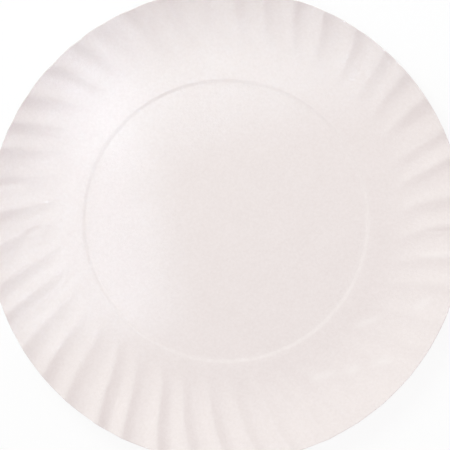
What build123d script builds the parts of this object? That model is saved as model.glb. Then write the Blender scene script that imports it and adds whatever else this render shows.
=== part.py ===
"""Round paper plate with a fluted wall, pressed from one disc of uncoated white board.

Frame: millimetres, +Z up, the plate the right way up on a table at Z = 0, its axis on the Z axis.
From the middle outwards: a flat round panel that the plate stands on, a pressed ring that steps the
board up a little, a flat margin, and a wall that curls up to the cut edge. The wall is gathered into
flutes, narrow ridges with wider troughs between them. They start at the foot of the wall, deepen
towards the cut edge and lean round the plate as they climb.
"""

import os
from math import atan, degrees, radians, sin, sqrt, tan

from build123d import *

# Driving dimensions, in millimetres and degrees.
plate_diameter = 228.6  # across the cut edge
board_thickness = 0.35
ring_diameter = 137.9  # to the middle of the pressed ring
ring_width = 2.4
ring_height = 0.64  # how far the ring lifts the margin above the panel
margin_width = 7.0  # flat band from the ring to the foot of the wall
rim_rise = 14.3  # climb of the wall's outer face, from the margin to the cut edge
flute_count = 44
flute_depth = 1.8  # from trough to ridge, at the cut edge
flute_twist = 9.0  # turn of a flute about the axis, from its foot to the cut edge

# Sizes that follow.
foot_radius = (ring_diameter + ring_width) / 2 + margin_width
wall_span = plate_diameter / 2 - foot_radius
wall_angle = 2 * atan(rim_rise / wall_span)  # slope at the cut edge, in radians
wall_radius = wall_span / sin(wall_angle)  # of the wall's outer face
flute_pitch = 360 / flute_count
ring_turn = 2 * atan(ring_height / ring_width)  # slope at the middle of the ring, in radians
ring_radius = ring_width / 2 / sin(ring_turn)  # of its two arcs, on the outer face

# A flute is one Bezier patch a pitch wide. Its control heights, as shares of half the depth, are
# those of the curve 2 (4u (1 - u)) ** 3 - 1: level troughs at both sides, a narrow ridge between.
ridge_height = 5.4
across_flute = [-1, -1, -1, ridge_height, -1, -1, -1]
# Growth of the depth up the wall, level at the foot, so that the wall runs smoothly into the margin.
up_flute = [0, 0, 0.45, 0.72, 0.9, 1]


def arc_controls(start, heading, radius, angle, count):
    """Bezier control points of an arc in the XY plane that leaves start along heading and turns left."""
    centre = start + heading.rotate(Axis.Z, 90) * radius
    end_heading = heading.rotate(Axis.Z, degrees(angle))
    end = centre + end_heading.rotate(Axis.Z, -90) * radius
    reach = 4 / 3 * tan(angle / 4) * radius
    points = [start, start + heading * reach, end - end_heading * reach, end]
    while len(points) < count:  # the same curve, one degree higher
        n = len(points)
        between = [points[i - 1] * (i / n) + points[i] * (1 - i / n) for i in range(1, n)]
        points = [points[0], *between, points[-1]]
    return points


def wall_skin(foot_height, radius):
    """The faces of one side of the wall, one for each flute, from the height of its foot."""
    up = arc_controls(
        Vector(foot_radius, foot_height), Vector(1, 0), radius, wall_angle, len(up_flute)
    )
    round_pitch = arc_controls(
        Vector(1, 0), Vector(0, 1), 1, radians(flute_pitch), len(across_flute)
    )
    rows = []
    for row, (point, growth) in enumerate(zip(up, up_flute)):
        turn = flute_twist * sqrt(row / (len(up_flute) - 1))  # flutes straighten as they climb
        heights = [point.Y + growth * share * flute_depth / 2 for share in across_flute]
        around = [Vector(p.X * point.X, p.Y * point.X, z) for p, z in zip(round_pitch, heights)]
        rows.append([p.rotate(Axis.Z, turn) for p in around])
    flute = Face.make_bezier_surface(rows)
    return [place * flute for place in PolarLocations(0, flute_count)]


# The flat middle of the plate: panel, ring and margin, revolved from their section.
with BuildPart() as middle:
    with BuildSketch(Plane.XZ) as middle_section:
        with BuildLine() as outer_face:
            panel = Line((0, 0), ((ring_diameter - ring_width) / 2, 0))
            lift = JernArc(panel @ 1, panel % 1, ring_radius, degrees(ring_turn))
            level = JernArc(lift @ 1, lift % 1, ring_radius, -degrees(ring_turn))
            Line(level @ 1, (foot_radius, ring_height))
            offset(amount=board_thickness, side=Side.LEFT, closed=True)
        make_face()
    revolve(axis=Axis.Z)

# The wall: its eating side, its outer side and the cut edge that joins them, flute by flute.
eating_side = wall_skin(ring_height + board_thickness, wall_radius - board_thickness)
outer_side = wall_skin(ring_height, wall_radius)
cut_edge = [
    Face.make_surface_from_curves(above.edges().sort_by(Axis.Z)[-1], below.edges().sort_by(Axis.Z)[-1])
    for above, below in zip(eating_side, outer_side)
]

# The board is one sheet: the middle gives up its own outer edge and the wall carries its faces on.
middle_faces = middle.faces().filter_by(GeomType.CYLINDER, reverse=True)
with BuildPart() as plate:
    add(Solid(Shell([*middle_faces, *eating_side, *outer_side, *cut_edge])))

plate.part.label = "plate"

os.makedirs("parts", exist_ok=True)
export_step(plate.part, "parts/plate.step")
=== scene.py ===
"""A fluted paper plate of uncoated white board on a white studio floor, seen from above.

Lengths are in metres, with +Z up. A bearing is in degrees round the plate from its right, so its
back is at 90 and its front at 270. A share is of the radius of the cut edge.
"""

import math
import random

import bmesh
import bpy
from mathutils import Matrix, Vector, noise


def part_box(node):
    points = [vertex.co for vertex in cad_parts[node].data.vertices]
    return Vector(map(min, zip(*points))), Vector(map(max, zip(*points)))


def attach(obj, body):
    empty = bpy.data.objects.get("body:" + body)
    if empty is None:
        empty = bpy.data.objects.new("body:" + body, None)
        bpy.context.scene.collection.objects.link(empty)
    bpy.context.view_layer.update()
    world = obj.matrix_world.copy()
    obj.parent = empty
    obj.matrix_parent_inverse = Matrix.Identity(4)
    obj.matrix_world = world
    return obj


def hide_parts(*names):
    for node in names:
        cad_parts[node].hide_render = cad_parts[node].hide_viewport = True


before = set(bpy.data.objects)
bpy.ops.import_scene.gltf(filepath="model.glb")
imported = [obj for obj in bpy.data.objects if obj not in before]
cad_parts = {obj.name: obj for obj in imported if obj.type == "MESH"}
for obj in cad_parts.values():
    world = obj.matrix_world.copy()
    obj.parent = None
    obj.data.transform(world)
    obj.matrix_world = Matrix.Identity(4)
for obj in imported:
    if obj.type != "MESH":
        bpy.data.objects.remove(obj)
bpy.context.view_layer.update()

MM = 0.001

# The plate's own sizes, which follow its solid.
plate_low, plate_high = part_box("plate")
rim_radius = (plate_high.x - plate_low.x) / 2
board = 0.35 * MM
ring_middle = 68.8 * MM
ring_width = 2.4 * MM
ring_lift = 0.64 * MM
foot_radius = 77.15 * MM  # where the wall starts to curl up
rim_rise = 14.3 * MM
flute_count = 44
flute_depth = 1.8 * MM

wall_span = rim_radius - foot_radius
wall_bend = wall_span / math.sin(2 * math.atan(rim_rise / wall_span)) - board

# How the ring and the wall stray from the die.
ring_off_centre = 1.05 * MM  # towards the back
wall_high, wall_low = 1.06, 0.9  # times the die's climb, at that bearing and opposite it
wall_high_bearing = 300
draw_in = 0.15  # how far a gather pulls the edge inwards, for each metre of its height
draw_in_bearing = 230

# The flutes are narrow ridges between wider troughs. Their start, depth and lean change round the
# plate.
ridge_round = 0.22  # of a ridge's top, as a share of half a flute
trough_drop = 0.33  # level between the ridges, as a share of a ridge's height
flute_long_start, flute_short_start = 0.63, 0.75  # shares where the flutes start
flute_long_bearing = 255
flute_ease = 0.25  # of its climb, over which a flute swells from nothing
flute_foot_depth = 0.08  # of its depth, at the foot
flute_flare = 0.4  # extra depth at the very edge
flute_flare_bearing = 110
# Where flutes are deeper or shallower: by how much, at which bearing, and the cosine of the angle
# off it at which that has faded out.
deeper, deeper_bearing, deeper_reach = 0.7, 268, 0.7
shallower, shallower_bearing, shallower_reach = 0.65, 317, 0.8
flute_twist = 11.3  # degrees, over the whole climb
twist_start = 0.64  # share where the twist begins
untwisted = 0.85  # how far up its swing a flute is on its own bearing
first_flute = -2.4  # its bearing
crowding, crowding_bearing = 2.0, -15  # degrees that the flutes are pushed aside
flute_wander, wander_span = 0.12, 22 * MM  # in pitches, and the size of the waves

chance = random.Random(11)
flute_share = [chance.uniform(0.75, 1.25) for _ in range(flute_count)]
flute_stray = [chance.uniform(-0.08, 0.08) for _ in range(flute_count)]

# Places where the board is pinched into a fold or pushed up: bearing, shares where it starts and
# ends, half its width in degrees, its height in millimetres and the degrees it leans in all.
pinches = [
    (168.9, 0.85, 1.05, 1.7, -1.8, 2.0),
    (182.0, 0.77, 0.87, 1.2, -0.8, 2.5),
    (24.0, 0.81, 1.05, 0.6, -0.35, 2.6),
    (29.0, 0.84, 1.05, 1.5, -0.4, 2.0),
    (358.6, 0.84, 0.95, 0.4, -0.3, 0.5),
    (71.0, 0.88, 1.0, 1.5, -0.6, 1.0),
    (110.0, 0.89, 0.98, 1.1, 0.4, 0.5),
    (126.0, 0.86, 0.98, 1.4, 0.6, 1.0),
    (235.2, 0.85, 0.89, 0.5, -0.3, 0.5),
]
pinch_fullness = 0.6  # below 1, a pinch keeps its height nearly to its ends

# Soft creases, each pressed in and given a painted highlight that makes it paler than the board
# round it: bearing, share, length in millimetres and heading in degrees.
creases = [
    (337.9, 0.896, 13, 37),
    (318.1, 0.88, 13, 21),
    (325.3, 0.7375, 18, 24),
    (302.7, 0.776, 16, 17),
    (310.9, 0.826, 8, 22),
    (352.0, 0.90, 18, 8),
]
crease_width = 1.9 * MM
crease_lift = 0.15 * MM
# painted highlight along the creases, as a share of the way to the paler colour
crease_painted_highlight = 0.45
# painted light along the pressed ring, lifting its shade
ring_painted_light = 0.06

# The mesh: radius in millimetres of each row of the flat middle and how many times fewer points
# it has than the rows outside it, then how many rows each band takes.
points_per_flute = 20
middle_rows = [(14, 16), (30, 16), (46, 16), (56, 8), (62, 4), (65.5, 2)]
ring_rows, margin_rows, wall_rows = 6, 3, 36
sharp_from = 50  # degrees between two faces that meet in a hard edge

# The board's finish.
board_dark = (0.815, 0.747, 0.732, 1)
board_light = (0.88, 0.818, 0.807, 1)
# colour of the painted highlight on the creases and the painted light along the ring
painted_light_colour = (0.91, 0.865, 0.85, 1)
cloud_strength, felt_strength = 0.5, 1.6  # how far each moves the colour from dark to light
felt_height = 0.18 * MM

# The studio.
white = (1, 1, 1, 1)
floor_paint = (0.9, 0.9, 0.9, 1)
floor_glow = 0.88  # of what the eye sees of the floor, the rest being its shading
floor_gap = 0.05 * MM  # under the plate, so that the two never touch
floor_side = 6
room_level = 0.66
room_tint = (1, 0.961, 0.975)
beam_height, beam_rise, beam_spread = 80, 0.3, 8  # degrees up, metres away and degrees wide


def smooth(low, high, x):
    """0 below low, 1 above high, and an easy climb between them."""
    t = min(max((x - low) / (high - low), 0), 1)
    return t * t * (3 - 2 * t)


def by_side(angle, towards, near, far):
    """near on the side of that bearing, far on the opposite one."""
    return far + (near - far) * (0.5 + 0.5 * math.cos(angle - math.radians(towards)))


def round_about(angle, towards, reach):
    """1 at that bearing, fading to 0 where the cosine of the angle off it is reach."""
    return smooth(reach, 1, math.cos(angle - math.radians(towards)))


def spaced(low, high, count):
    return [low + (high - low) * i / count for i in range(count)]


def flute_growth(radius, angle):
    """How much of its depth a flute has reached."""
    start = by_side(angle, flute_long_bearing, flute_long_start, flute_short_start) * rim_radius
    climb = (radius - start) / (rim_radius - start)
    if climb <= 0:
        return 0
    flare = by_side(angle, flute_flare_bearing, flute_flare, 0) * climb**4
    return smooth(0, flute_ease, climb) * (
        flute_foot_depth + (1 - flute_foot_depth) * climb + flare
    )


def flute_place(radius, angle):
    """Which flute this place is on, counted round the plate in pitches."""
    climb = max(radius / rim_radius - twist_start, 0) / (1 - twist_start)
    swing = flute_twist * (math.sqrt(climb) - untwisted)
    aside = crowding * math.cos(angle - math.radians(crowding_bearing))
    turned = math.degrees(angle) - first_flute - swing - aside
    wander = noise.noise(Vector((math.cos(angle), math.sin(angle), 0)) * radius / wander_span)
    return turned / 360 * flute_count + flute_wander * wander


def flute_height(radius, angle):
    """Height of the gathered board over the plain wall: sharp ridges between round troughs."""
    growth = flute_growth(radius, angle)
    if growth == 0:
        return 0
    deep = deeper * round_about(angle, deeper_bearing, deeper_reach)
    shallow = shallower * round_about(angle, shallower_bearing, shallower_reach)
    place = flute_place(radius, angle)
    ridges = 0
    for flute in (math.floor(place), math.floor(place) + 1):
        across = 2 * (place - flute - flute_stray[flute % flute_count])
        off_ridge = (math.sqrt(across**2 + ridge_round**2) - ridge_round) / (1 - ridge_round)
        ridges += flute_share[flute % flute_count] * max(1 - off_ridge, 0) ** 2
    return growth * flute_depth * (1 + deep - shallow) * (ridges - trough_drop)


def pinch_height(radius, angle):
    """Height that the small folds and swellings add."""
    height = 0
    for bearing, inner, outer, half_width, lift, lean in pinches:
        along = (radius / rim_radius - inner) / (outer - inner)
        if 0 < along < 1:
            off = (math.degrees(angle) - bearing - lean * (along - 0.5) + 180) % 360 - 180
            across = math.exp(-((off / half_width) ** 2))
            height += lift * MM * across * math.sin(math.pi * along) ** pinch_fullness
    return height


def creased(x, y):
    """1 on the line of a crease, 0 away from it."""
    mark = 0
    for bearing, share, length, heading in creases:
        bearing, heading = math.radians(bearing), math.radians(heading)
        dx = x - share * rim_radius * math.cos(bearing)
        dy = y - share * rim_radius * math.sin(bearing)
        along = (dx * math.cos(heading) + dy * math.sin(heading)) / (length / 2 * MM)
        off = (dy * math.cos(heading) - dx * math.sin(heading)) / crease_width
        if abs(along) < 1:
            mark += (1 - along**2) * math.exp(-(off**2))
    return min(mark, 1)


def from_ring(x, y):
    """How far outside the middle of the pressed ring a place is."""
    return math.hypot(x, y - ring_off_centre) - ring_middle


def painted_light(x, y):
    """How much painted light makes the board paler than the rest: along the ring and the creases.
    """
    ring = math.exp(-((from_ring(x, y) / (ring_width / 2)) ** 2))
    return max(ring_painted_light * ring, crease_painted_highlight * creased(x, y))


def board_point(radius, angle):
    """A point of the eating side. The gathers draw the cut edge in a little."""
    x, y = radius * math.cos(angle), radius * math.sin(angle)
    height = board + ring_lift * smooth(-ring_width / 2, ring_width / 2, from_ring(x, y))
    if radius > foot_radius:
        out = radius - foot_radius
        climb = wall_bend - math.sqrt(wall_bend**2 - out**2)
        height += climb * by_side(angle, wall_high_bearing, wall_high, wall_low)
    gather = flute_height(radius, angle) + pinch_height(radius, angle)
    reach = radius - by_side(angle, draw_in_bearing, draw_in, 0) * gather
    height += gather + crease_lift * creased(x, y)
    return reach * math.cos(angle), reach * math.sin(angle), height


def row_of_points(mesh, radius, count):
    """One row of the sheet. The rows near the pressed ring follow it off the centre."""
    away = abs(radius - ring_middle)
    follow = ring_off_centre * (1 - smooth(ring_width / 2, foot_radius - ring_middle, away))
    angles = [2 * math.pi * i / count for i in range(count)]
    return [mesh.verts.new(board_point(radius + follow * math.sin(a), a)) for a in angles]


def pressed_sheet():
    """The eating side as one skin, rows of points from the middle to the cut edge."""
    most = flute_count * points_per_flute
    ring_edge = ring_middle + ring_width / 2
    outer_radii = (
        spaced(ring_middle - ring_width / 2, ring_edge, ring_rows)
        + spaced(ring_edge, foot_radius, margin_rows)
        + spaced(foot_radius, rim_radius, wall_rows)
        + [rim_radius]
    )
    rows = [(radius * MM, most // fewer) for radius, fewer in middle_rows]
    rows += [(radius, most) for radius in outer_radii]
    mesh = bmesh.new()
    inner = None
    for radius, count in rows:
        outer = row_of_points(mesh, radius, count)
        if inner is None:
            mesh.faces.new(outer)
        else:
            steps = count // len(inner)
            for i, point in enumerate(inner):
                across = [outer[(i * steps + j) % count] for j in range(steps + 1)]
                mesh.faces.new([point, *across, inner[(i + 1) % len(inner)]])
        inner = outer
    sheet = bpy.data.meshes.new("pressed_sheet")
    mesh.to_mesh(sheet)
    mesh.free()
    # painted light along the ring and painted highlight along the creases, kept on the points
    pale = sheet.attributes.new("painted_light", "FLOAT", "POINT")
    pale.data.foreach_set("value", [painted_light(point.co.x, point.co.y) for point in sheet.vertices])
    return sheet


class Socket:
    """A node's output that plain arithmetic can be written on."""

    def __init__(self, finish, socket):
        self.finish = finish
        self.socket = socket

    def out(self, name):
        """Another output of the same node."""
        return Socket(self.finish, self.socket.node.outputs[name])

    def maths(self, operation, first, second):
        return self.finish.node("ShaderNodeMath", {"operation": operation}, {0: first, 1: second})

    def larger(self, other):
        return self.maths("MAXIMUM", self, other)

    def __add__(self, other):
        return self.maths("ADD", self, other)

    def __radd__(self, other):
        return self.maths("ADD", other, self)

    def __sub__(self, other):
        return self.maths("SUBTRACT", self, other)

    def __rsub__(self, other):
        return self.maths("SUBTRACT", other, self)

    def __mul__(self, other):
        return self.maths("MULTIPLY", self, other)

    def __rmul__(self, other):
        return self.maths("MULTIPLY", other, self)


class Finish:
    """The node tree of one material or of the world."""

    def __init__(self, owner):
        owner.use_nodes = True
        self.tree = owner.node_tree
        self.tree.nodes.clear()

    def node(self, kind, settings=None, sockets=None):
        """A new node with its settings made first, then its sockets set or linked."""
        made = self.tree.nodes.new(kind)
        for name, value in (settings or {}).items():
            setattr(made, name, value)
        for name, value in (sockets or {}).items():
            if isinstance(name, str):
                socket = next(s for s in made.inputs if s.name == name and s.enabled)
            else:
                socket = made.inputs[name]
            if isinstance(value, Socket):
                self.tree.links.new(value.socket, socket)
            else:
                socket.default_value = value
        outputs = [s for s in made.outputs if s.enabled]
        return Socket(self, outputs[0]) if outputs else None

    def blend(self, factor, first, second):
        """A mix of two colours."""
        return self.node(
            "ShaderNodeMix", {"data_type": "RGBA"}, {"Factor": factor, "A": first, "B": second}
        )

    def speckle(self, place, per_mm, detail, rough):
        """Noise with so many features to the millimetre."""
        return self.node("ShaderNodeTexNoise", {}, {
            "Vector": place, "Scale": per_mm, "Detail": detail, "Roughness": rough
        })

    def seen(self):
        """1 where the eye sees this, straight, in a gloss or through glass, and 0 for its light."""
        rays = self.node("ShaderNodeLightPath")
        shown = rays.out("Is Camera Ray").larger(rays.out("Is Glossy Ray"))
        return shown.larger(rays.out("Is Transmission Ray"))


def white_board():
    """Uncoated paper board: felted fibres, a faint cloudiness, and painted light along the ring and
    the creases.
    """
    material = bpy.data.materials.new("white_board")
    paper = Finish(material)
    spot = paper.node("ShaderNodeTexCoord").out("Object")
    spot = paper.node("ShaderNodeVectorMath", {"operation": "SCALE"}, {
        "Vector": spot, "Scale": 1 / MM
    })
    felt = paper.speckle(spot, per_mm=0.7, detail=4.0, rough=0.65)
    fibre = paper.speckle(spot, per_mm=2.2, detail=2.0, rough=0.5)
    cloud = paper.speckle(spot, per_mm=0.06, detail=3.0, rough=0.55)
    tone = (cloud - 0.5) * cloud_strength + (felt - 0.5) * felt_strength + 0.5
    colour = paper.blend(tone, board_dark, board_light)
    # painted light along the ring and painted highlight along the creases, read from the points
    painted_light_mask = paper.node("ShaderNodeAttribute", {"attribute_name": "painted_light"}).out("Fac")
    bump = paper.node("ShaderNodeBump", {}, {
        "Height": felt * 0.5 + fibre * 0.5, "Strength": 1.0, "Distance": felt_height
    })
    # the base colour carries the painted light along the ring and the creases
    surface = paper.node("ShaderNodeBsdfPrincipled", {}, {
        "Base Color": paper.blend(painted_light_mask, colour, painted_light_colour),
        "Roughness": 0.85,
        "Specular IOR Level": 0.25,
        "Normal": bump,
    })
    paper.node("ShaderNodeOutputMaterial", {}, {"Surface": surface})
    return material


def studio_white():
    """White to the eye, with some of the floor's own shading left in to keep the shadow."""
    material = bpy.data.materials.new("studio_white")
    paint = Finish(material)
    matt = paint.node("ShaderNodeBsdfDiffuse", {}, {"Color": floor_paint})
    glow = paint.node("ShaderNodeEmission", {}, {"Color": white, "Strength": 1.0})
    both = paint.node("ShaderNodeMixShader", {}, {0: paint.seen() * floor_glow, 1: matt, 2: glow})
    paint.node("ShaderNodeOutputMaterial", {}, {"Surface": both})
    return material


def white_room():
    """A white world to the eye, which lights the plate at its own level."""
    world = bpy.data.worlds.new("white_room")
    bpy.context.scene.world = world
    air = Finish(world)
    light = (*(tint * room_level for tint in room_tint), 1)
    sky = air.node("ShaderNodeBackground", {}, {"Color": air.blend(air.seen(), light, white)})
    air.node("ShaderNodeOutputWorld", {}, {"Surface": sky})


def add(name, data, material=None):
    """A new object in the scene."""
    piece = bpy.data.objects.new(name, data)
    bpy.context.scene.collection.objects.link(piece)
    if material:
        data.materials.append(material)
    return piece


def look_from(bearing, height, distance, target=Vector((0, 0, 0))):
    """A place at that bearing and so many degrees over the table, facing the target."""
    bearing, height = math.radians(bearing), math.radians(height)
    back = Vector((
        math.cos(bearing) * math.cos(height), math.sin(bearing) * math.cos(height), math.sin(height)
    ))
    matrix = back.to_track_quat("Z", "Y").to_matrix().to_4x4()
    matrix.translation = target + back * distance
    return matrix


def soft_box(name, place, size, power, colour, spread=180):
    """A lamp with a plain lit panel, whose light spreads through so many degrees."""
    lamp = bpy.data.lights.new(name, "AREA")
    lamp.shape = "RECTANGLE"
    lamp.size, lamp.size_y = size
    lamp.energy = power
    lamp.color = colour
    lamp.spread = math.radians(spread)
    add(name, lamp).matrix_world = place


def beam(name, bearing, target, size, power, colour):
    """A narrow beam from close above, which lights a strip of the plate."""
    place = look_from(bearing, beam_height, beam_rise, Vector(target) * MM)
    soft_box(name, place, size, power, colour, beam_spread)


def paper_plate():
    """The sheet given its thickness, in place of the plain solid."""
    skin = add("plate_skin", pressed_sheet())
    thicken = skin.modifiers.new("board", "SOLIDIFY")
    thicken.thickness = board
    thicken.offset = -1
    thicken.use_even_offset = True
    bpy.context.view_layer.update()
    settled = skin.evaluated_get(bpy.context.evaluated_depsgraph_get())
    pressing = bpy.data.meshes.new_from_object(settled)
    bpy.data.objects.remove(skin)
    pressing.polygons.foreach_set("use_smooth", [True] * len(pressing.polygons))
    pressing.set_sharp_from_angle(angle=math.radians(sharp_from))
    plate = add("paper_plate", pressing, white_board())
    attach(plate, "root")
    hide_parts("plate")


def studio_floor():
    """A plain floor, a hair under the plate."""
    side = floor_side
    sheet = bpy.data.meshes.new("floor")
    floor = add("floor", sheet, studio_white())
    corners = [(-side, -side, 0), (side, -side, 0), (side, side, 0), (-side, side, 0)]
    sheet.from_pydata(corners, [], [(0, 1, 2, 3)])
    floor.location.z = -floor_gap


def camera_over_plate():
    """The camera stands almost over the plate and leans in a little from behind it."""
    lean = math.radians(8.5)
    reach = 1.5
    view_width = 0.216  # of the table that the camera takes in
    aim = Vector((-0.4, 1.7, 15.2)) * MM
    right = Vector((1, 0, 0))
    up = Vector((0, math.cos(lean), -math.sin(lean)))
    back = Vector((0, math.sin(lean), math.cos(lean)))
    camera = add("camera", bpy.data.cameras.new("camera"))
    turn = Matrix((right, up, back)).transposed().to_4x4()
    camera.matrix_world = Matrix.Translation(aim + back * reach) @ turn
    camera.data.sensor_width = 36
    camera.data.lens = camera.data.sensor_width * reach / view_width
    camera.data.clip_end = 50
    bpy.context.scene.camera = camera


paper_plate()
studio_floor()

white_room()
soft_box(
    "window", look_from(bearing=122, height=48, distance=1.3),
    size=(0.5, 0.5), power=6.6, colour=(0.87, 1, 0.95),
)
soft_box(
    "overhead", look_from(bearing=90, height=90, distance=2.6),
    size=(1.2, 1.2), power=6.9, colour=(1, 0.875, 0.9),
)
# Cooler light lies across the back of the plate and along its left.
beam(
    "back_beam", bearing=105, target=(27, 97, 0),
    size=(0.23, 0.084), power=0.0048, colour=(0.62, 0.86, 1),
)
beam(
    "side_beam", bearing=188, target=(-80, 35, 0),
    size=(0.182, 0.084), power=0.0059, colour=(0.64, 0.83, 1),
)

camera_over_plate()
bpy.context.scene.view_settings.view_transform = "Standard"
